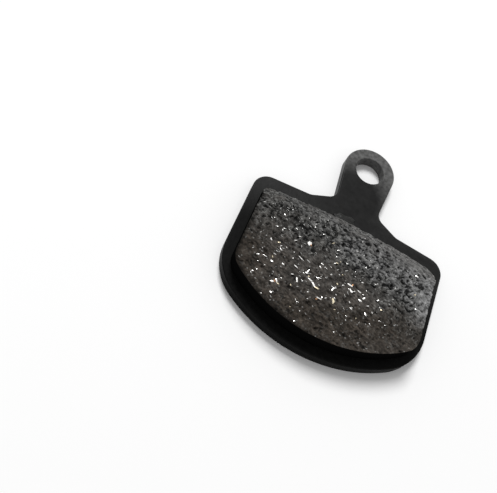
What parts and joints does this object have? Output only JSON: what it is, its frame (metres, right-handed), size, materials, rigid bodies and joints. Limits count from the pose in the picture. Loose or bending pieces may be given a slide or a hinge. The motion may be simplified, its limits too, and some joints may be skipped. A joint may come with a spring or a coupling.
{
  "type": "disc brake pad",
  "caption": "Flat disc brake pad: a black stamped plate with an eyelet tab carries a bonded, granular friction block with a bevelled upper edge.",
  "frame": {"origin": "centre of the pin hole at the plate's back face", "axes": "+X to the right seen from the friction face, +Y from the friction block towards the eyelet, +Z out of the friction face"},
  "size_m": [0.0322, 0.0383, 0.0044],
  "materials": {
    "black_paint": "satin black paint on stamped steel",
    "friction_compound": "matt, granular and pitted, with bright metal chips"
  },
  "bodies": {
    "root": {"backing_plate": "black_paint", "friction_block": "friction_compound"}
  },
  "joints": []
}
